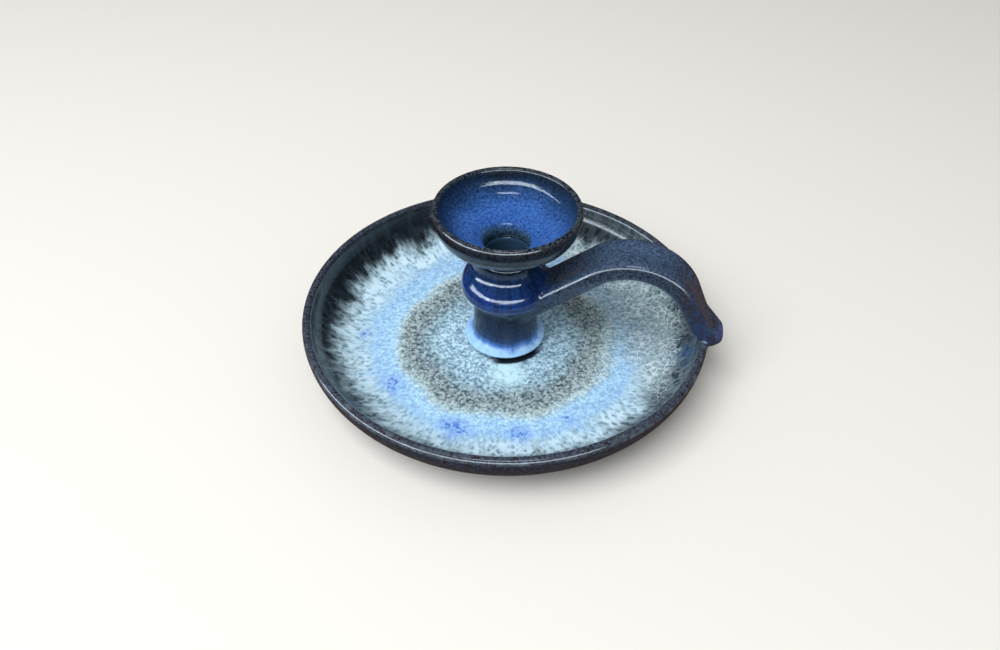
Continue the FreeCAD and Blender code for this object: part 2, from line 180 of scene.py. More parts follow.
# %% A thrown piece
def thrown(name, node, around, ridge_height, ridge_pitch, lean, ridged):
    """A mesh of a turned node. ridged(radius, height) is 1 where the fingers left ridges."""
    outline, loop = section(node)
    outline = softened(spaced(outline, OUTLINE_STEP, loop), EASING_PASSES, loop)
    slope = np.roll(outline, -1, axis=0) - np.roll(outline, 1, axis=0)
    slope /= np.maximum(np.linalg.norm(slope, axis=1, keepdims=True), WELD)
    outward = np.stack([slope[:, 1], -slope[:, 0]], axis=1)
    angles = np.linspace(0, math.tau, around, endpoint=False)[:, None]
    along = np.arange(len(outline)) * OUTLINE_STEP
    turn = along[None, :] / ridge_pitch + angles / math.tau
    mask = np.array([ridged(radius, height) for radius, height in outline])
    ridge = -ridge_height * mask * (0.5 + 0.5 * np.cos(math.tau * turn))
    far = outline[:, 0] / outline[:, 0].max()
    tall = outline[:, 1] / outline[:, 1].max()
    sway = 0.5 + 0.35 * np.cos(2 * angles + 0.7) + 0.15 * np.cos(3 * angles + 2.1)
    radius = outline[:, 0] + outward[:, 0] * ridge - 0.6 * lean * far * sway
    height = outline[:, 1] + outward[:, 1] * ridge - lean * far * tall * (1 - sway)
    points = np.stack([radius * np.cos(angles), radius * np.sin(angles), height], axis=2)
    piece = turned_grid(name, points, loop)
    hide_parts(node)
    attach(piece, "root")
    return piece


# %% [markdown]
# ## The saucer
#
# The saucer is thrown from one lump: a flat floor, a wall that sweeps out and up, and a rounded
# lip. Its foot ring is turned underneath once the clay is stiff, so the underside is crisp and the
# inside is soft. The ridges are only on the inside, where the fingers were.

# %% Saucer
dish_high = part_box("dish")[1]
FLOOR_TOP = 8 * MM
LIP_WIDTH = 6 * MM
SPONGED = 0.15


def inside_of_dish(radius, height):
    """All of the ridge on the inside; little of it on the outside, which was sponged smooth."""
    inside = height > FLOOR_TOP - 0.5 * MM and radius < dish_high.x - LIP_WIDTH
    return 1.0 if inside else SPONGED


dish = thrown("dish_glazed", "dish", around=540, ridge_height=0.06 * MM, ridge_pitch=7 * MM,
              lean=0.35 * MM, ridged=inside_of_dish)

# %% [markdown]
# ## The stem
#
# The stem is thrown off the hump: a flanged foot, a narrow waist, a bulb that the thumb pushed out,
# and a neck. Its ridges are close together, because the fingers rose quickly.

# %% Stem
HOLLOW_REACH = 12 * MM


def outside_of_stem(radius, height):
    """Ridges on the outer skin only: the socket was gauged smooth and the hollow was cut."""
    return 1.0 if radius > HOLLOW_REACH else 0.0


stem = thrown("stem_glazed", "stem", around=240, ridge_height=0.03 * MM, ridge_pitch=3.1 * MM,
              lean=0.12 * MM, ridged=outside_of_stem)

# %% [markdown]
# ## The drip cup
#
# A small bowl with an upright rim catches the wax. Its floor falls to the candle socket. The ring of
# slip under it is wiped flush with the neck, so the seam nearly goes.

# %% Drip cup
drip_cup = thrown("drip_cup_glazed", "drip_cup", around=300, ridge_height=0.06 * MM,
                  ridge_pitch=3.4 * MM, lean=0.12 * MM, ridged=outside_of_stem)

# %% The wiped seam under the cup
SEAM_FILL = 0.5 * MM
SEAM_STEP = 0.2 * MM
SEAM_AROUND = 240
seam_outline, seam_loop = section("cup_slip")
seam_outline = spaced(seam_outline, SEAM_STEP, seam_loop)
seam_outline[:, 0] += SEAM_FILL * (seam_outline[:, 0] > seam_outline[:, 0].mean())
seam_angles = np.linspace(0, math.tau, SEAM_AROUND, endpoint=False)[:, None]
cup_seam = turned_grid("cup_slip_wiped", np.stack(
    [seam_outline[:, 0] * np.cos(seam_angles), seam_outline[:, 0] * np.sin(seam_angles),
     seam_outline[:, 1] + 0 * seam_angles], axis=2), seam_loop)
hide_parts("cup_slip")
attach(cup_seam, "root")

# %% [markdown]
# ## The strap handle
#
# A strap handle is pulled from a lump of wet clay, so it tapers, its edges are round and a thumb
# leaves a channel along its top. A curve with a bevel could not change its section on the way, so
# the strap is swept here by hand: a path of straight and round stretches, and a section at each
# station along it.

# %% The handle's path
ROOT = Vector((5.115, 0, 28.916)) * MM
RISE_ANGLE = 40
FALL_ANGLE = 64
TAIL_ANGLE = 46
RISE_LENGTH = 48.69 * MM
ARCH_RADIUS = 28.75 * MM
DROP_LENGTH = 11.2 * MM
TAIL_BEND_RADIUS = 12 * MM
TAIL_LENGTH = 15.0 * MM
STATION_STEP = 0.6 * MM


def strap_path():
    """Places (x, z), headings and distances along the strap's middle, in the plane y = 0."""
    stretches = [(RISE_LENGTH, 0),
                 (ARCH_RADIUS * math.radians(RISE_ANGLE + FALL_ANGLE), -1 / ARCH_RADIUS),
                 (DROP_LENGTH, 0),
                 (TAIL_BEND_RADIUS * math.radians(FALL_ANGLE - TAIL_ANGLE), 1 / TAIL_BEND_RADIUS),
                 (TAIL_LENGTH, 0)]
    place, heading, distance = np.array([ROOT.x, ROOT.z]), math.radians(RISE_ANGLE), 0.0
    places, headings, distances = [place], [heading], [distance]
    for length, bend in stretches:
        steps = int(round(length / STATION_STEP))
        for _ in range(steps):
            step = length / steps
            heading += bend * step / 2
            place = place + step * np.array([math.cos(heading), math.sin(heading)])
            heading += bend * step / 2
            distance += step
            places.append(place)
            headings.append(heading)
            distances.append(distance)
    return np.array(places), np.array(headings), np.array(distances)


path_places, path_headings, path_distances = strap_path()
STRAP_LENGTH = path_distances[-1]
print(f"strap: {STRAP_LENGTH / MM:.0f} mm long, top at {path_places[:, 1].max() / MM:.1f} mm,"
      f" end at x {path_places[-1, 0] / MM:.1f} mm")

# %% [markdown]
# Each section starts as a superellipse, which is an oval pushed towards a rounded rectangle. The
# top is then dished for the thumb and the underside crowned. The width and thickness belong to the
# station. Towards the tail the thumb lifted off, so the channel fades out and turns into a low swell,
# and over the last few millimetres width and thickness close to a blunt, rounded end.

# %% The handle's section
AROUND_STRAP = 96
SQUARENESS = 4.2
CHANNEL_DEPTH = 1.0 * MM
CHANNEL_SHARE = 0.8
CROWN_HEIGHT = 0.8 * MM
# The length over which the channel fades, and the swell that it ends in, as a share of its depth
CHANNEL_FADE = 22 * MM
TAIL_SWELL = 0.3
# Distance along the strap, width, thickness
STRAP_SIZES = np.array([(0, 23.8, 11.6), (48.7, 23.2, 10.5), (101, 21.2, 10), (129.3, 13.8, 9.8)]) * MM
TAIL_ROUNDING = 4.7 * MM
BLEND_STATIONS = 31

window_of_blend = np.ones(BLEND_STATIONS) / BLEND_STATIONS
strap_widths, strap_thicknesses = (
    np.convolve(np.pad(np.interp(path_distances, STRAP_SIZES[:, 0], STRAP_SIZES[:, column]),
                       BLEND_STATIONS // 2, mode="reflect", reflect_type="odd"),
                window_of_blend, mode="valid") for column in (1, 2))


def strap_points(distances):
    """Points of the strap's skin, from one distance along it for each point round the section."""
    turn = np.linspace(0, math.tau, AROUND_STRAP, endpoint=False)
    across = np.sign(np.cos(turn)) * np.abs(np.cos(turn)) ** (2 / SQUARENESS)
    up = np.sign(np.sin(turn)) * np.abs(np.sin(turn)) ** (2 / SQUARENESS)
    left = np.clip((STRAP_LENGTH - distances) / TAIL_ROUNDING, 0, 1)
    closing = np.sqrt(1 - (1 - left) ** 2)
    width, thickness = (np.interp(distances, path_distances, sizes) - 2 * TAIL_ROUNDING * (1 - closing)
                        for sizes in (strap_widths, strap_thicknesses))
    bowl = np.clip(1 - (across / CHANNEL_SHARE) ** 2, 0, 1) ** 1.5
    fade = (STRAP_LENGTH - distances) / CHANNEL_FADE - TAIL_SWELL
    channel = CHANNEL_DEPTH * np.clip(fade, -TAIL_SWELL, 1)
    rise = up * thickness / 2 - bowl * np.where(up > 0, channel, CROWN_HEIGHT * closing)
    x, z, heading = (np.interp(distances, path_distances, values)
                     for values in (path_places[:, 0], path_places[:, 1], path_headings))
    return np.stack([x - np.sin(heading) * rise, across * width / 2, z + np.cos(heading) * rise],
                    axis=1)


# %% [markdown]
# The strap starts just under the bulb's skin. The bulb is round and the strap is slanted, so each
# line along the strap gets its own start.

# %% Strap
FOOT_HEIGHT = 10 * MM
stem_outline = section("stem")[0]
stem_side = stem_outline[(stem_outline[:, 0] > HOLLOW_REACH) & (stem_outline[:, 1] > FOOT_HEIGHT)]
stem_side = stem_side[np.argsort(stem_side[:, 1])]
SUNK = 1.5 * MM
SEARCH_LENGTH = 40 * MM
SEARCH_STEP = 0.1 * MM

tries = np.arange(0, SEARCH_LENGTH, SEARCH_STEP)
skins = np.stack([strap_points(np.full(AROUND_STRAP, distance)) for distance in tries])
buried = np.hypot(skins[:, :, 0], skins[:, :, 1]) < np.interp(
    skins[:, :, 2], stem_side[:, 1], stem_side[:, 0]) - SUNK
starts = np.array([tries[np.nonzero(buried[:, point])[0].max()] for point in range(AROUND_STRAP)])

stations = int((STRAP_LENGTH - starts.mean()) / STATION_STEP)
rings = [strap_points(starts + (STRAP_LENGTH - starts) * station / stations)
         for station in range(stations + 1)]
strap_faces = []
for ring in range(stations):
    for point in range(AROUND_STRAP):
        beside = (point + 1) % AROUND_STRAP
        strap_faces.append((ring * AROUND_STRAP + point, ring * AROUND_STRAP + beside,
                            (ring + 1) * AROUND_STRAP + beside, (ring + 1) * AROUND_STRAP + point))
strap_places = list(np.concatenate(rings))
for ring in (0, stations):
    strap_faces += [(ring * AROUND_STRAP + point, ring * AROUND_STRAP + (point + 1) % AROUND_STRAP,
                     len(strap_places)) for point in range(AROUND_STRAP)]
    strap_places.append(rings[ring].mean(axis=0))
handle = new_piece("handle_glazed", strap_places, strap_faces)
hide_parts("handle")
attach(handle, "root")
print(f"handle: {len(handle.data.vertices)} points, starts {starts.min() / MM:.1f} to"
      f" {starts.max() / MM:.1f} mm along the strap")

# %% [markdown]
# ## The wiped joints
#
# Where the strap meets the bulb and the lip, the potter scores both, brushes slip between and wipes
# the corner until the strap seems to grow out of the pot. Both shapes are joined in one voxel mesh
# and smoothed: that fills the corner between them and sinks everything that bulges out. Only the
# skin that stands clear of both shapes is kept, and its largest patch is the slip. Booleans and a
# bevel could do a simple corner, but not one between a round bulb and a slanted, dished strap.

# %% Smoothing by neighbours
def eased_places(mesh, passes):
    """The mesh's points and normals, and the points after averaging with their neighbours."""
    count = len(mesh.vertices)
    places, normals = np.empty(count * 3), np.empty(count * 3)
    ends = np.empty(len(mesh.edges) * 2, dtype=int)
    mesh.vertices.foreach_get("co", places)
    mesh.vertices.foreach_get("normal", normals)
    mesh.edges.foreach_get("vertices", ends)
    places, normals, ends = places.reshape(-1, 3), normals.reshape(-1, 3), ends.reshape(-1, 2)
    links = np.bincount(ends.ravel(), minlength=count)
    eased = places.copy()
    for _ in range(passes):
        for axis in range(3):
            total = (np.bincount(ends[:, 0], eased[ends[:, 1], axis], count)
                     + np.bincount(ends[:, 1], eased[ends[:, 0], axis], count))
            eased[:, axis] = (eased[:, axis] + total / links) / 2
    return places, normals, eased


# %% The skin that is slip
VOXEL = 0.5 * MM
# How deep under either piece the slip may reach
CLEAR = -0.25 * MM


def signed_distance(tree, point):
    """How far a point is from a skin, negative inside it."""
    near, normal, _, distance = tree.find_nearest(point)
    return distance if (point - near).dot(normal) > 0 else -distance


def largest_patch(faces):
    """The faces of the largest connected patch."""
    patch_of, patches = {}, []
    for face in faces:
        touched = {id(patch_of[index]): patch_of[index] for index in face if index in patch_of}
        patch = max(touched.values(), key=len, default=[])
        for smaller in touched.values():
            if smaller is not patch:
                patch += smaller
                for other_face in smaller:
                    patch_of.update(dict.fromkeys(other_face, patch))
        patch.append(face)
        patch_of.update(dict.fromkeys(face, patch))
        patches.append(patch)
    largest = max(patches, key=len)
    print(f"{len(faces) - len(largest)} loose faces dropped")
    return largest


# %% Joining two pieces in one skin
def joined_skin(name, pieces, low, high):
    """The two pieces remeshed as one, cropped to a box."""
    both = bmesh.new()
    for piece in pieces:
        both.from_mesh(piece.data)
    joined = bpy.data.meshes.new(name)
    both.to_mesh(joined)
    both.free()
    holder = bpy.data.objects.new(name, joined)
    bpy.context.scene.collection.objects.link(holder)
    remesh = holder.modifiers.new("one_skin", "REMESH")
    remesh.mode = "VOXEL"
    remesh.voxel_size = VOXEL
    evaluated = holder.evaluated_get(bpy.context.evaluated_depsgraph_get())
    skin = bmesh.new()
    skin.from_mesh(evaluated.to_mesh())
    evaluated.to_mesh_clear()
    bpy.data.objects.remove(holder)
    outside = [vertex for vertex in skin.verts
               if any(not low[axis] < vertex.co[axis] < high[axis] for axis in range(3))]
    bmesh.ops.delete(skin, geom=outside, context="VERTS")
    cropped = bpy.data.meshes.new(name)
    skin.to_mesh(cropped)
    skin.free()
    return cropped


# %% A wiped joint
def wiped_joint(name, node, other, passes, reach):
    """The slip between the handle and another piece, in the box of the node it stands for."""
    low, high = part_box(node)
    margin = Vector((1, 1, 1)) * reach * 2
    cropped = joined_skin(name, (handle, other), low - margin, high + margin)
    eased = eased_places(cropped, passes)[2]
    trees = [BVHTree.FromPolygons([vertex.co for vertex in piece.data.vertices],
                                  [face.vertices[:] for face in piece.data.polygons])
             for piece in (handle, other)]
    apart = np.array([[signed_distance(tree, Vector(place)) for tree in trees] for place in eased])
    fits = (apart > CLEAR).all(axis=1) & (apart < reach).all(axis=1)
    faces = largest_patch([face.vertices[:] for face in cropped.polygons
                           if all(fits[index] for index in face.vertices)])
    used = sorted({index for face in faces for index in face})
    renumbered = {index: place for place, index in enumerate(used)}
    piece = new_piece(name, eased[used], [[renumbered[index] for index in face] for face in faces])
    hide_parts(node)
    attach(piece, "root")
    print(f"{name}: {len(used)} points, {len(faces)} faces")
    return piece


root_joint = wiped_joint("root_slip_wiped", "root_slip", stem, passes=90, reach=5 * MM)
tail_joint = wiped_joint("tail_slip_wiped", "tail_slip", dish, passes=30, reach=3 * MM)

# %% [markdown]
# ## Where the glaze runs thin
#
# A glaze is liquid in the kiln. It runs off every edge that stands proud and gathers in the hollows,
# and this glaze shows brown where it is thin. Each point is compared with its smoothed
# surroundings, and the difference is kept on the mesh for the materials to read.

# %% Proud edges
PROUD_PASSES = 24


def store_proud(piece):
    """Keeps on each point how far it stands out from its surroundings, in millimetres."""
    places, normals, eased = eased_places(piece.data, PROUD_PASSES)
    proud = ((places - eased) * normals).sum(axis=1) / MM
    piece.data.attributes.new("proud", "FLOAT", "POINT").data.foreach_set("value", proud)
    print(f"{piece.name}: stands proud by up to {proud.max():.2f} mm")


for glazed_piece in (dish, stem, drip_cup, cup_seam, handle, root_joint, tail_joint):
    store_proud(glazed_piece)

# %% [markdown]
# ## Colour from numbers
#
# Colours are written as sRGB hex values, the way a picker shows them. Shaders work in linear
# light, so one function turns a hex value into linear numbers.

# %% Colours and nodes
def linear(hex_value):
    """An sRGB hex colour as linear red, green, blue and alpha."""
    channels = [int(hex_value[place:place + 2], 16) / 255 for place in (1, 3, 5)]
    return [value / 12.92 if value <= 0.04045 else ((value + 0.055) / 1.055) ** 2.4
            for value in channels] + [1.0]


def add(tree, kind, inputs=None, stops=(), **settings):
    """A node with its settings, its inputs from numbers or from the sockets that feed them, and
    the stops of a colour ramp."""
    node = tree.nodes.new("ShaderNode" + kind)
    for name, value in settings.items():
        setattr(node, name, value)
    for name, value in (inputs or {}).items():
        if isinstance(value, bpy.types.NodeSocket):
            tree.links.new(value, node.inputs[name])
        else:
            node.inputs[name].default_value = value
    for index, (place, colour) in enumerate(stops):
        elements = node.color_ramp.elements
        element = elements[index] if index < 2 else elements.new(place)
        element.position, element.color = place, linear(colour)
    return node


# %% [markdown]
# ## Marks that follow the wheel
#
# Glaze is poured on a round pot and runs outwards, so its rings lie round the axis and its streaks
# point away from it. Plain texture coordinates know nothing of that. These helpers measure the
# radius and the height in millimetres, and lay patterns out in a space where one direction goes
# round the wheel and the other goes out from the middle.

# %% Wheel coordinates
PATTERN_RADIUS = 75


def wheel_coordinates(tree):
    """Sockets for the place, the radius, the height and the way round, in millimetres."""
    place = add(tree, "TexCoord").outputs["Object"]
    scaled = add(tree, "VectorMath", {0: place, "Scale": 1 / MM}, operation="SCALE").outputs["Vector"]
    flat = add(tree, "VectorMath", {0: scaled, 1: (1, 1, 0)}, operation="MULTIPLY").outputs["Vector"]
    radius = add(tree, "VectorMath", {0: flat}, operation="LENGTH").outputs["Value"]
    height = add(tree, "SeparateXYZ", {0: scaled}).outputs["Z"]
    unit = add(tree, "VectorMath", {0: flat}, operation="NORMALIZE").outputs["Vector"]
    around = add(tree, "VectorMath", {0: unit, "Scale": PATTERN_RADIUS},
                 operation="SCALE").outputs["Vector"]
    return scaled, radius, height, around


def drawn_out(tree, around, distance, stretch):
    """A pattern space round the wheel, whose marks are stretched along the other direction."""
    out = add(tree, "Math", {0: distance, 1: 1 / stretch}, operation="MULTIPLY").outputs["Value"]
    lifted = add(tree, "CombineXYZ", {"Z": out}).outputs["Vector"]
    return add(tree, "VectorMath", {0: around, 1: lifted}, operation="ADD").outputs["Vector"]


# %% [markdown]
# Some marks belong to one place or one side, such as a pool or the wall that drained most. Others
# follow the shape: glaze breaks on an edge, and runs thin on the faces that look down.

# %% Measures of place and shape
def away_from(tree, place, point):
    """How far a place is from a point, in millimetres."""
    return add(tree, "VectorMath", {0: place, 1: point}, operation="DISTANCE").outputs["Value"]


def towards(tree, place, side):
    """How far a place lies towards a side of the wheel, in millimetres."""
    return add(tree, "VectorMath", {0: place, 1: side}, operation="DOT_PRODUCT").outputs["Value"]


def facing_up(tree):
    """1 where the skin looks up, 0 where it is upright and -1 where it looks down."""
    normal = add(tree, "NewGeometry").outputs["Normal"]
    return add(tree, "SeparateXYZ", {0: normal}).outputs["Z"]


def edge_break(tree, low, high):
    """1 where the skin stands proud of its surroundings by high millimetres, 0 below low."""
    proud = add(tree, "Attribute", attribute_name="proud").outputs["Fac"]
    return between(tree, proud, low, high)


# %% [markdown]
# Glaze is never even: it mottles, drifts and wanders. Shares from 0 to 1 say where a mark shows, and
# they are multiplied together, so that a mark can be a patch of noise inside a band inside a sector.

# %% Shares from 0 to 1
def mottle(tree, space, size, low=0.36, high=0.64, detail=3.0, rough=0.6):
    """Patches from 0 to 1, about size millimetres across; low and high set how hard they part."""
    noise = add(tree, "TexNoise", {"Vector": space, "Scale": 0.5 / size,
                                   "Detail": detail, "Roughness": rough}).outputs["Fac"]
    return add(tree, "MapRange", {"Value": noise, "From Min": low, "From Max": high}).outputs["Result"]


def shifted(tree, distance, share, amount):
    """A distance pushed in or out by a pattern, so that a band's edge wanders."""
    offset = add(tree, "Math", {0: share, 1: amount, 2: -amount / 2},
                 operation="MULTIPLY_ADD").outputs["Value"]
    return add(tree, "Math", {0: distance, 1: offset}, operation="ADD").outputs["Value"]


def between(tree, value, low, high):
    """0 below low, 1 above high, and smooth between; low above high turns it round."""
    return add(tree, "MapRange", {"Value": value, "From Min": low, "From Max": high},
               interpolation_type="SMOOTHSTEP").outputs["Result"]


def ranged(tree, first, last, share):
    """A value that goes from first to last as share goes from 0 to 1."""
    return add(tree, "MapRange", {"Value": share, "To Min": first, "To Max": last}).outputs["Result"]


def all_of(tree, *shares):
    """The shares multiplied: a mark shows only where every one of them lets it."""
    product = shares[0]
    for share in shares[1:]:
        product = add(tree, "Math", {0: product, 1: share}, operation="MULTIPLY").outputs["Value"]
    return product


# %% Glaze over glaze
def laid_over(tree, under, over, share):
    """One glaze colour over another, by a share from 0 to 1."""
    return add(tree, "Mix", {0: share, 6: under, 7: over}, data_type="RGBA").outputs[2]


def speckled(tree, dark, light, share):
    """Two hex colours parted by a pattern."""
    return laid_over(tree, linear(dark), linear(light), share)


def banded(tree, distance, thin_bands, thick_bands, reach, share):
    """Bands of glaze along a distance. Each band has a thin and a thick colour, and share
    parts them."""
    along = add(tree, "Math", {0: distance, 1: 1 / reach}, operation="MULTIPLY").outputs["Value"]
    thin, thick = (add(tree, "ValToRGB", {"Fac": along},
                       stops=[(place / reach, colour) for place, colour in bands]).outputs["Color"]
                   for bands in (thin_bands, thick_bands))
    return laid_over(tree, thin, thick, share)


# %% [markdown]
# ## How a fired glaze shines
#
# A glaze is glass, so its index of refraction is close to window glass. It is smooth where it melted
# well and duller where it crystallised, and its surface swells slowly like orange peel, with fine
# pits where gas left. The pits are drawn 0.5 mm across, a little coarser than real ones, so that they
# show. All of that is relief too low for the mesh, so a bump is right for it.

# %% Glaze finish
GLAZE_IOR = 1.52
DULL_PATCH = 2.2
SWELL_SCALE = 0.35
PIT_SIZE = 0.5
PIT_DEPTH = 0.12
BUMP_HEIGHT = 0.12 * MM
BUMP_STRENGTH = 0.5


def glaze_material(name):
    material = bpy.data.materials.new(name)
    material.use_nodes = True
    shader = material.node_tree.nodes["Principled BSDF"]
    shader.inputs["IOR"].default_value = GLAZE_IOR
    return material, material.node_tree, shader


def fired(tree, shader, colour, scaled, smooth, dull):
    """Joins the colour to the shader, with a roughness from smooth to dull and a fired surface."""
    rough = ranged(tree, smooth, dull, mottle(tree, scaled, DULL_PATCH))
    swell = add(tree, "TexNoise", {"Vector": scaled, "Scale": SWELL_SCALE, "Detail": 1.0}).outputs["Fac"]
    pits = mottle(tree, scaled, PIT_SIZE, low=0.62, high=0.72, detail=1.0)
    relief = add(tree, "Math", {0: pits, 1: -PIT_DEPTH, 2: swell},
                 operation="MULTIPLY_ADD").outputs["Value"]
    bump = add(tree, "Bump", {"Height": relief, "Strength": BUMP_STRENGTH, "Distance": BUMP_HEIGHT})
    tree.links.new(colour, shader.inputs["Base Color"])
    tree.links.new(rough, shader.inputs["Roughness"])
    tree.links.new(bump.outputs["Normal"], shader.inputs["Normal"])


# %% [markdown]
# ## The saucer's glaze
#
# This is a floating blue: an iron glaze with rutile in it. Thick glaze turns sky blue and white,
# thin glaze stays brown or nearly black. On the flat floor it lay thick, in rings that the pouring
# left a little off centre. On the steep wall it ran down: there it is dark, and white tongues reach
# into it from the pool below. Two ramps along the radius hold each ring's thin and thick colour, and
# a fine mottle decides between them grain by grain. Further out the same mottle is drawn along the
# streaks.

# %% Saucer bands
DISH_THIN = [(0, "#567a90"), (30, "#5c8098"), (37, "#52707f"), (42, "#3b4c54"), (50, "#44565c"),
             (54, "#7e9dae"), (58, "#86b0d6"), (67, "#7ba3ce"), (71, "#84a6be"), (79, "#7b95a3"),
             (84, "#3e4e58"), (88, "#222d38"), (96, "#1f2933"), (100, "#232834")]
DISH_THICK = [(0, "#bce0f4"), (30, "#c4e6f9"), (37, "#b0d0e0"), (42, "#a3b7c0"), (50, "#aec2c6"),
              (54, "#c6dde2"), (58, "#b6e0fd"), (67, "#abd5f8"), (71, "#b2d8f2"), (79, "#b8daec"),
              (84, "#869faa"), (88, "#465560"), (96, "#43505d"), (100, "#4c5b6d")]
DISH_REACH = 105
FLOOR_LEVEL = FLOOR_TOP / MM
# The middle of the rings
POUR_CENTRE = (1.2, -2.2, FLOOR_LEVEL)
TONGUE_LENGTH = 7


def saucer_bands(tree, scaled, radius, around):
    """The rings' colour, the distance that places it, and its slow and fine patterns."""
    tongues = mottle(tree, drawn_out(tree, around, radius, 4.5), 3.4, low=0.3, high=0.7)
    drift = mottle(tree, scaled, 15, low=0.3, high=0.7, detail=2.0)
    wandering = shifted(tree, shifted(tree, radius, tongues, -TONGUE_LENGTH), drift, 5)
    ragged = mottle(tree, scaled, 2.4, low=0.3, high=0.7)
    off_centre = away_from(tree, scaled, POUR_CENTRE)
    rings = shifted(tree, shifted(tree, off_centre, drift, 6), ragged, 3)
    outer = between(tree, radius, 64, 72)
    banding = add(tree, "Mix", {"Factor": outer, 2: rings, 3: wandering}, data_type="FLOAT").outputs[0]
    fine = mottle(tree, scaled, 0.72, low=0.4, high=0.6, detail=4.0, rough=0.7)
    drawn = mottle(tree, drawn_out(tree, around, radius, 1.8), 0.85, low=0.37, high=0.63)
    grain = add(tree, "Mix", {"Factor": outer, 2: fine, 3: drawn}, data_type="FLOAT").outputs[0]
    return banded(tree, banding, DISH_THIN, DISH_THICK, DISH_REACH, grain), banding, drift, fine


# %% [markdown]
# Rutile gathers as a white lace where the glaze slowed at the foot of the wall. It is a cell
# pattern: bright walls, dark hollows, and a faint trace of both further up. The cells are bent by a
# slow noise, because straight ones look like cracked mud.

# %% Saucer lace
CELL_SCALE = 0.42
BEND_SCALE = 0.3


def bent(tree, space, scaled, amount):
    """A pattern space pushed about by up to amount millimetres."""
    push = add(tree, "TexNoise", {"Vector": scaled, "Scale": BEND_SCALE, "Detail": 3.0}).outputs["Color"]
    return add(tree, "VectorMath", {0: push, 1: (amount,) * 3, 2: space},
               operation="MULTIPLY_ADD").outputs["Vector"]


def saucer_lace(tree, colour, scaled, radius, around, banding):
    lace_space = bent(tree, drawn_out(tree, around, radius, 1.5), scaled, 3)
    cells = add(tree, "TexVoronoi", {"Vector": lace_space, "Scale": CELL_SCALE, "Smoothness": 0.35},
                feature="SMOOTH_F1").outputs["Distance"]
    uneven = mottle(tree, drawn_out(tree, around, radius, 1.6), 4.2, low=0.32, high=0.6)
    hollows = all_of(tree, between(tree, cells, 0.42, 0.12), between(tree, banding, 68, 75),
                     between(tree, banding, 90, 84), mottle(tree, scaled, 5, low=0.4), 0.7)
    colour = laid_over(tree, colour, linear("#5f7782"), hollows)
    lace = all_of(tree, between(tree, cells, 0.3, 0.62), between(tree, banding, 67, 75),
                  between(tree, banding, 90, 80), uneven)
    colour = laid_over(tree, colour, linear("#c6e2f4"), lace)
    faint = all_of(tree, between(tree, cells, 0.38, 0.6), between(tree, banding, 80, 88), uneven, 0.6)
    return laid_over(tree, colour, linear("#7f949d"), faint)


# %% [markdown]
# The wall isn't the same all the way round. Under the handle the floor takes a darker grey grain,
# which is painted shade of the handle, and a net of fine white threads that is the glaze's own. At
# the back left nearly all of it ran off. Each is a sector, measured along one direction from the middle.

# %% Saucer sides
HANDLE_SIDE = (0.84, 0.54, 0)
BACK_LEFT = (-0.62, 0.78, 0)
NET_SCALE = 0.3


def saucer_sides(tree, colour, scaled, radius, banding, drift, fine):
    by_handle = towards(tree, scaled, HANDLE_SIDE)
    # Painted shade of the handle: a darker grey grain on the floor on the handle's side
    handle_shade_grain = all_of(tree, between(tree, shifted(tree, by_handle, drift, 14), 44, 62),
                       between(tree, banding, 90, 84), 0.72)
    colour = laid_over(tree, colour, speckled(tree, "#4c6068", "#a5bcc4", fine), handle_shade_grain)
    net = add(tree, "TexVoronoi", {"Vector": bent(tree, scaled, scaled, 2.4), "Scale": NET_SCALE},
              feature="DISTANCE_TO_EDGE").outputs["Distance"]
    clusters = ranged(tree, 0.15, 1.0, mottle(tree, scaled, 4, low=0.42, high=0.56, detail=2.0))
    threads = all_of(tree, between(tree, net, 0.14, 0.0), between(tree, by_handle, 42, 56),
                     between(tree, radius, 60, 66), between(tree, banding, 92, 87), clusters,
                     ranged(tree, 0.7, 1.0, fine))
    colour = laid_over(tree, colour, linear("#cde2ea"), threads)
    bare_wall = all_of(tree, between(tree, towards(tree, scaled, BACK_LEFT), -30, 70),
                       between(tree, banding, 84, 90), 0.9)
    return laid_over(tree, colour, linear("#10181f"), bare_wall)


# %% [markdown]
# Single events come next: cobalt specks that gathered in a few spots, a white pool by the foot, a
# painted shadow in a dark crescent under the edge of the foot's flange, and the run that came off the
# handle's tail. Each one has its place on the saucer.

# %% Saucer spots
# The way round from the handle in degrees, the radius and the spread
COBALT_SPOTS = [(225, 65, 1), (258, 67, 0.7), (263, 68, 1.1), (287, 67, 0.9), (309, 64, 0.5),
                (193, 71, 0.6)]
POOL = (284, 28)
# Where the painted shadow under the foot's flange is darkest: the way round and the radius
FOOT_SHADOW = (302, 19.5)
TAIL_RUN = (89, -3, 21)


def floor_place(azimuth, radius):
    turn = math.radians(azimuth)
    return radius * math.cos(turn), radius * math.sin(turn), FLOOR_LEVEL


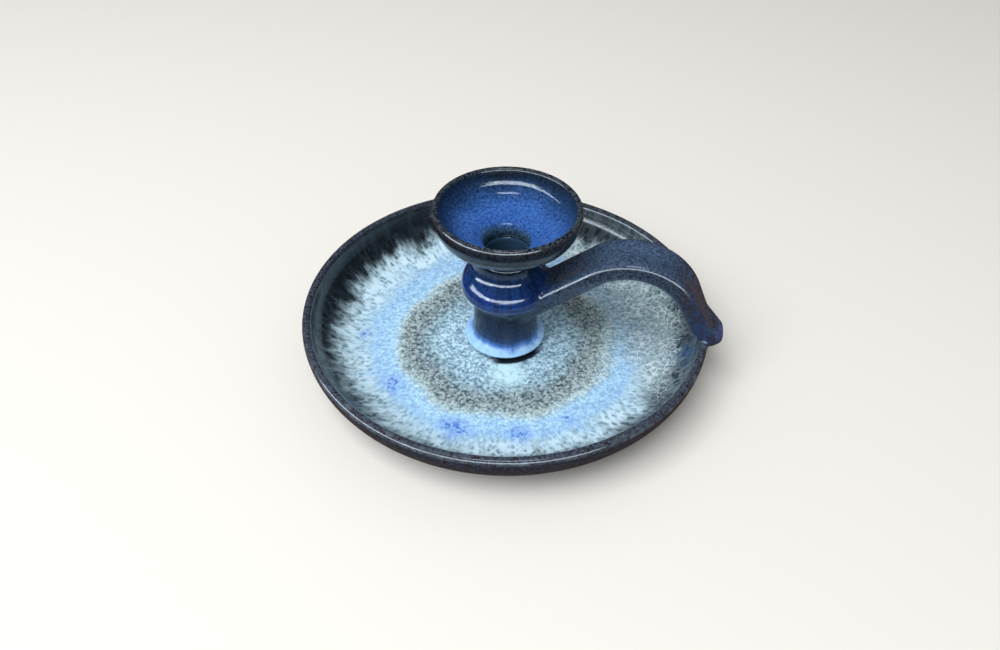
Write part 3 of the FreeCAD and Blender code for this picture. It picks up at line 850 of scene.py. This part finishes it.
def saucer_spots(tree, colour, scaled, radius):
    nearness = None
    for azimuth, spot_radius, spread in COBALT_SPOTS:
        away = all_of(tree, away_from(tree, scaled, floor_place(azimuth, spot_radius)), 1 / spread)
        nearness = away if nearness is None else add(
            tree, "Math", {0: nearness, 1: away}, operation="MINIMUM").outputs["Value"]
    halo = all_of(tree, between(tree, nearness, 11, 2), mottle(tree, scaled, 2.5, low=0.3, high=0.6), 0.5)
    colour = laid_over(tree, colour, linear("#7aa4ee"), halo)
    specks = all_of(tree, between(tree, nearness, 8, 1), mottle(tree, scaled, 0.9, low=0.5, high=0.6))
    colour = laid_over(tree, colour, linear("#4a74c4"), specks)
    stray = all_of(tree, mottle(tree, scaled, 0.8, low=0.62, high=0.7), between(tree, radius, 72, 60), 0.55)
    colour = laid_over(tree, colour, linear("#5a82c4"), stray)
    pool = all_of(tree, between(tree, away_from(tree, scaled, floor_place(*POOL)), 13, 3),
                  mottle(tree, scaled, 1.6, low=0.25, high=0.5))
    colour = laid_over(tree, colour, linear("#c0e6f2"), pool)
    # Painted shadow: a dark crescent on the floor under the front edge of the foot's flange
    foot_shadow = all_of(tree, between(tree, away_from(tree, scaled, floor_place(*FOOT_SHADOW)), 17, 9),
                 between(tree, radius, 22.6, 21))
    colour = laid_over(tree, colour, linear("#17222b"), foot_shadow)
    run = all_of(tree, between(tree, away_from(tree, scaled, TAIL_RUN), 14, 4),
                 mottle(tree, scaled, 2, low=0.3, high=0.65))
    return laid_over(tree, colour, linear("#274a70"), run)


# %% [markdown]
# The outside carries one thin, dark coat. The lip is where the glaze broke, so it takes a grey and
# brown edge colour by the stored "proud" value. The foot ring is wiped bare before firing, because a
# glazed foot would stick to the kiln shelf.

# %% Saucer outside and the whole material
LIP_RADIUS = 97.5
WIPED_HEIGHT = 4


def saucer_outside(tree, colour, scaled, radius, height):
    facing = facing_up(tree)
    below = all_of(tree, between(tree, facing, 0.25, -0.05),
                   between(tree, radius, LIP_RADIUS - 0.3, LIP_RADIUS + 0.3))
    under = all_of(tree, between(tree, facing, 0.1, -0.1),
                   between(tree, radius, LIP_RADIUS + 0.3, LIP_RADIUS - 0.3))
    outside = add(tree, "Math", {0: below, 1: under}, operation="ADD", use_clamp=True).outputs["Value"]
    colour = laid_over(tree, colour, speckled(tree, "#14141e", "#2c384b", mottle(tree, scaled, 0.75)),
                       outside)
    broken = all_of(tree, edge_break(tree, 0.2, 0.5), between(tree, radius, 95.3, 95.5),
                    mottle(tree, scaled, 3, low=0.2, high=0.5))
    colour = laid_over(tree, colour, speckled(tree, "#231d20", "#465162", mottle(tree, scaled, 0.6)),
                       broken)
    clay = speckled(tree, "#8a7662", "#a8947c", mottle(tree, scaled, 0.6))
    bare = all_of(tree, between(tree, height, WIPED_HEIGHT + 0.2, WIPED_HEIGHT - 0.2),
                  between(tree, radius, 66, 65))
    return laid_over(tree, colour, clay, bare)


def dish_glaze():
    material, tree, shader = glaze_material("floating_blue_glaze_on_saucer")
    scaled, radius, height, around = wheel_coordinates(tree)
    colour, banding, drift, fine = saucer_bands(tree, scaled, radius, around)
    colour = saucer_lace(tree, colour, scaled, radius, around, banding)
    colour = saucer_sides(tree, colour, scaled, radius, banding, drift, fine)
    colour = saucer_spots(tree, colour, scaled, radius)
    colour = saucer_outside(tree, colour, scaled, radius, height)
    fired(tree, shader, colour, scaled, smooth=0.11, dull=0.22)
    return material


dish.data.materials.append(dish_glaze())
print("saucer glaze:", len(dish.data.materials[0].node_tree.nodes), "nodes")

# %% [markdown]
# ## The stem's glaze
#
# The same glaze lies thinner on the upright stem, so it stays a deep, glossy cobalt over dark clay.
# It ran down to the flange of the foot and stopped there in a pale, wavy pool. The bands go by
# height here, and streaks run down through them. Inside the socket the coat is thin and even.

# %% Stem glaze
# The stops up to 9.6 mm lie under the foot's flange, and their dark grey is painted shade.
STEM_THIN = [(0, "#2a3844"), (9.6, "#2a3844"), (10.4, "#88b4e0"), (12.4, "#88b4e2"), (13.2, "#4c7ac4"),
             (14.6, "#28589c"), (17, "#06204a"), (21, "#000c28"), (32, "#04101c"), (35.5, "#081828"),
             (38, "#061a46"), (46, "#041642"), (53, "#06183a"), (60, "#080f1c")]
STEM_THICK = [(0, "#41525f"), (9.6, "#41525f"), (10.4, "#aedafa"), (12.4, "#aad6fa"), (13.2, "#8cb6f6"),
              (14.6, "#5484cc"), (17, "#183e74"), (21, "#0a2650"), (32, "#0f2a4a"), (35.5, "#143252"),
              (38, "#1e4480"), (46, "#1a3f8a"), (53, "#22467e"), (60, "#1a2c46")]
STEM_REACH = 70
STREAK_SHARE = 0.45


def cobalt_on_stem(tree, scaled, height, around):
    """The stem's bands by height, with edges that wander round it."""
    waves = mottle(tree, drawn_out(tree, around, height, 2), 14, low=0.3, high=0.7, detail=1.0)
    wandering = shifted(tree, height, waves, 1.6)
    streaks = mottle(tree, drawn_out(tree, around, height, 3), 4.5)
    grain = mottle(tree, scaled, 0.8)
    share = add(tree, "Mix", {"Factor": STREAK_SHARE, 2: streaks, 3: grain}, data_type="FLOAT").outputs[0]
    return banded(tree, wandering, STEM_THIN, STEM_THICK, STEM_REACH, share)


def stem_glaze():
    material, tree, shader = glaze_material("cobalt_glaze_on_stem")
    scaled, radius, height, around = wheel_coordinates(tree)
    colour = cobalt_on_stem(tree, scaled, height, around)
    colour = laid_over(tree, colour, linear("#2a4258"), between(tree, radius, 11, 10.6))
    fired(tree, shader, colour, scaled, smooth=0.07, dull=0.15)
    return material


stem.data.materials.append(stem_glaze())

# %% [markdown]
# ## The cup's glaze
#
# Inside, the glaze ran to the middle: cobalt round the throat, darker up the wall, and brown at the
# rim where it is thin. Outside it is thin all over, nearly black with brown specks. The wiped seam
# under the cup takes the same material.

# %% Cup glaze
CUP_THIN = [(0, "#1a2c3e"), (3.5, "#152c46"), (6.2, "#1a3a78"), (9, "#1d4083"), (12, "#132e5c"),
            (16, "#0c1f3e"), (19, "#0d1828"), (22, "#0a1016"), (25, "#10141a")]
CUP_THICK = [(0, "#4a6880"), (3.5, "#46688c"), (6.2, "#3c68b4"), (9, "#4371ba"), (12, "#37609f"),
             (16, "#2e5080"), (19, "#2a4262"), (22, "#25323e"), (25, "#333c46")]
CUP_BASE = 63
CUP_REACH = 28


def cup_glaze():
    material, tree, shader = glaze_material("cobalt_glaze_on_cup")
    scaled, radius, height = wheel_coordinates(tree)[:3]
    above = add(tree, "Math", {0: height, 1: CUP_BASE}, operation="SUBTRACT").outputs["Value"]
    drift = mottle(tree, scaled, 12, low=0.3, high=0.7, detail=1.0)
    colour = banded(tree, shifted(tree, above, drift, 3), CUP_THIN, CUP_THICK, CUP_REACH,
                    mottle(tree, scaled, 0.6, low=0.3, high=0.7))
    turned_down = all_of(tree, between(tree, facing_up(tree), 0.05, -0.1), between(tree, radius, 14, 16))
    outside = add(tree, "Math", {0: turned_down, 1: between(tree, radius, 32.4, 33.6)},
                  operation="MAXIMUM").outputs["Value"]
    dark = speckled(tree, "#0a1018", "#212c3a", mottle(tree, scaled, 0.8))
    dark = laid_over(tree, dark, linear("#33251d"), mottle(tree, scaled, 0.7, low=0.56, high=0.74))
    colour = laid_over(tree, colour, dark, outside)
    rim = speckled(tree, "#15171b", "#404a56", mottle(tree, scaled, 0.6, low=0.4, high=0.62))
    worn = all_of(tree, edge_break(tree, 0.22, 0.5), between(tree, height, 84, 85.5))
    colour = laid_over(tree, colour, rim, worn)
    fired(tree, shader, colour, scaled, smooth=0.07, dull=0.16)
    return material


drip_cup.data.materials.append(cup_glaze())
cup_seam.data.materials.append(drip_cup.data.materials[0])

# %% [markdown]
# ## The handle's glaze
#
# The strap carries a thinner, satin coat: slate blue where it lies flat, dark brown where it broke
# over the two edges, darker on its upright sides, and rusty down the fall. Cobalt shows again at the
# root, where it pooled against the bulb, and at the tail. The wiped joints share this material, so no
# seam shows in the colour.

# %% Handle glaze
ROOT_POOL = (18, 26)


def strap_coat(tree, scaled, radius, drift):
    """The flat coat, darker in slow drifts, and brown where it broke over an edge."""
    coat = speckled(tree, "#243346", "#4c6180", mottle(tree, scaled, 0.6))
    coat = laid_over(tree, coat, linear("#2a3648"), all_of(tree, drift, 0.3))
    brown = speckled(tree, "#17161b", "#40332f", mottle(tree, scaled, 0.7))
    return laid_over(tree, coat, brown,
                     all_of(tree, edge_break(tree, 0.08, 0.3), between(tree, radius, 34, 50)))


def strap_sides(tree, colour, scaled, radius):
    """The upright sides, and the cobalt that ran down them to the tail."""
    facing = facing_up(tree)
    side = speckled(tree, "#0f131b", "#33435a", mottle(tree, scaled, 0.6))
    colour = laid_over(tree, colour, side, all_of(tree, between(tree, facing, 0.5, 0.15), 0.75))
    side_run = all_of(tree, between(tree, radius, 84, 92), between(tree, radius, 103, 99),
                      between(tree, facing, 0.6, 0.2), mottle(tree, scaled, 1.8, low=0.3, high=0.55))
    return laid_over(tree, colour, linear("#1d4474"), side_run)


def handle_glaze():
    material, tree, shader = glaze_material("slate_blue_glaze_on_handle")
    scaled, radius, height, around = wheel_coordinates(tree)
    drift = mottle(tree, scaled, 9, low=0.35, high=0.65, detail=1.0)
    colour = strap_sides(tree, strap_coat(tree, scaled, radius, drift), scaled, radius)
    fall = all_of(tree, between(tree, radius, 74, 90), mottle(tree, scaled, 1.1, low=0.36, high=0.58), 0.75)
    colour = laid_over(tree, colour, linear("#2e2526"), fall)
    past_root = between(tree, shifted(tree, radius, drift, 6), *ROOT_POOL)
    colour = laid_over(tree, cobalt_on_stem(tree, scaled, height, around), colour, past_root)
    tail_pool = all_of(tree, between(tree, radius, 101, 105), mottle(tree, scaled, 2.5, low=0.3, high=0.55))
    colour = laid_over(tree, colour, linear("#3f5590"), tail_pool)
    fired(tree, shader, colour, scaled, smooth=0.13, dull=0.26)
    return material


slate_blue = handle_glaze()
for handle_piece in (handle, root_joint, tail_joint):
    handle_piece.data.materials.append(slate_blue)

# %% [markdown]
# ## Bare slip under the stem
#
# The bed of slip under the foot sits back in the shadow of the flange, where no glaze reached. It is
# fired clay, so it is matt and brown. Its shape needs nothing more than the CAD model gives, so that
# node stays and only gets a material.

# %% Slip
def slip_material():
    material, tree, shader = glaze_material("fired_slip")
    scaled = wheel_coordinates(tree)[0]
    colour = speckled(tree, "#3c3430", "#5d5048", mottle(tree, scaled, 0.6))
    fired(tree, shader, colour, scaled, smooth=0.6, dull=0.8)
    return material


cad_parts["stem_slip"].data.materials.clear()
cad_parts["stem_slip"].data.materials.append(slip_material())

# %% [markdown]
# ## The floor and the room
#
# The piece stands on a plain pale floor, in a plain pale room. A glossy dark glaze mirrors both, and
# pale reflections would wash its colour out. So a glossy ray meets a darker floor and a darker room
# than the camera does, through the Light Path node.

# %% Floor
FLOOR_SIZE = 6.0
FLOOR_COLOUR = "#dcdad6"
MIRRORED_FLOOR = "#5c4a3c"

bpy.ops.mesh.primitive_plane_add(size=FLOOR_SIZE, location=(0, 0, 0))
floor = bpy.context.object
floor.name = "floor"
floor_material, floor_tree, floor_shader = glaze_material("matt_pale_paper")
mirrored = add(floor_tree, "LightPath").outputs["Is Glossy Ray"]
floor_tree.links.new(speckled(floor_tree, FLOOR_COLOUR, MIRRORED_FLOOR, mirrored),
                     floor_shader.inputs["Base Color"])
floor_shader.inputs["Roughness"].default_value = 0.9
floor_shader.inputs["Specular IOR Level"].default_value = 0
floor.data.materials.append(floor_material)

# %% World
ROOM_COLOUR = "#f4f4f2"
MIRRORED_ROOM = "#30343a"
# The strength that lights the object, and the one that the camera sees behind it
ROOM_STRENGTHS = (0.5, 0.95)

world = bpy.data.worlds.new("pale_room")
bpy.context.scene.world = world
world.use_nodes = True
room = world.node_tree
paths = add(room, "LightPath").outputs
background = room.nodes["Background"]
room.links.new(speckled(room, ROOM_COLOUR, MIRRORED_ROOM, paths["Is Glossy Ray"]),
               background.inputs["Color"])
room.links.new(ranged(room, *ROOM_STRENGTHS, paths["Is Camera Ray"]), background.inputs["Strength"])

# %% [markdown]
# ## The lamps
#
# One lamp can't both light a dark glaze softly and leave thin, sharp highlights on it. So the work is
# shared. A big lamp overhead lights the colours and is left out of reflections. Long low strips in
# front and at the left, and a small one high up, are seen only in reflections: they draw the windows
# of a room on the glaze.

# %% Lamps
STRIP_HEIGHT = 0.44
STRIP_RADIANCE = 12
WINDOW_COLOUR = (0.78, 0.9, 1.0)


def soft_lamp(name, place, aim, width, height, watts):
    """A rectangular lamp, with its size in metres, that looks at aim."""
    data = bpy.data.lights.new(name, "AREA")
    data.shape = "RECTANGLE"
    data.size = width
    data.size_y = height
    data.energy = watts
    lamp = bpy.data.objects.new(name, data)
    lamp.location = place
    lamp.rotation_euler = (Vector(aim) - Vector(place)).to_track_quat("-Z", "Y").to_euler()
    bpy.context.scene.collection.objects.link(lamp)
    print(f"{name}: {watts:.1f} W")
    return lamp


def strip_watts(width):
    return STRIP_RADIANCE * math.pi * width * STRIP_HEIGHT


reflected_lamps = (
    soft_lamp("window", (0.27, -1.4, 0.24), (0, 0, 0.04), 2.8, STRIP_HEIGHT, strip_watts(2.8)),
    soft_lamp("side_window", (-1.19, -0.76, 0.24), (0, 0, 0.04), 1.5, STRIP_HEIGHT, strip_watts(1.5)),
    soft_lamp("high_window", (0.14, -0.72, 1.3), (0, 0, 0.06), 0.7, 0.3, 6))
for lamp in reflected_lamps:
    lamp.data.color = WINDOW_COLOUR
    lamp.visible_diffuse = False
ceiling = soft_lamp("ceiling", (-0.4, -0.72, 1.3), (0, 0, 0), 1.2, 1.2, 28.5)
ceiling.visible_glossy = False

# %% [markdown]
# ## The camera
#
# A round piece shows as ellipses, and how round each one is tells how far away and how high the
# camera stands. The values here come from the ellipses of the saucer, the foot and the cup. The
# camera sits close, so the near lip looks large and the far one small.

# %% Camera
# Distance from the saucer's middle, height angle, the handle's swing towards the viewer and the
# camera's small roll
VIEW_DISTANCE = 431.4 * MM
VIEW_ELEVATION = 0.769
HANDLE_SWING = math.radians(11)
VIEW_ROLL = -0.022
FOCAL_PIXELS = 828.0
PICTURE_WIDTH = 1000
PICTURE_HEIGHT = 650
# The pixel on which the middle of the saucer's foot falls
ORIGIN_PIXEL = (504.7, 345.0)
SENSOR_WIDTH = 36.0
CLIP_START = 0.01

camera_data = bpy.data.cameras.new("camera")
camera_data.sensor_width = SENSOR_WIDTH
camera_data.lens = FOCAL_PIXELS / PICTURE_WIDTH * SENSOR_WIDTH
camera_data.clip_start = CLIP_START
camera = bpy.data.objects.new("camera", camera_data)
bpy.context.scene.collection.objects.link(camera)
eye = Vector((0, -math.cos(VIEW_ELEVATION), math.sin(VIEW_ELEVATION))) * VIEW_DISTANCE
forward = -eye.normalized()
right = Vector((1, 0, 0))
up = right.cross(forward)
rolled_right = right * math.cos(VIEW_ROLL) - up * math.sin(VIEW_ROLL)
rolled_up = right * math.sin(VIEW_ROLL) + up * math.cos(VIEW_ROLL)
aimed = Matrix((rolled_right, rolled_up, -forward)).transposed()
wanted = Vector(((ORIGIN_PIXEL[0] - PICTURE_WIDTH / 2) / FOCAL_PIXELS,
                 (PICTURE_HEIGHT / 2 - ORIGIN_PIXEL[1]) / FOCAL_PIXELS, -1)).normalized()
offset_turn = wanted.rotation_difference(Vector((0, 0, -1))).to_matrix()
swing = Matrix.Rotation(HANDLE_SWING, 3, "Z")
camera.matrix_world = (Matrix.Translation(swing @ eye)
                       @ (swing @ aimed @ offset_turn).to_4x4())
bpy.context.scene.camera = camera
bpy.context.scene.view_settings.view_transform = "Standard"
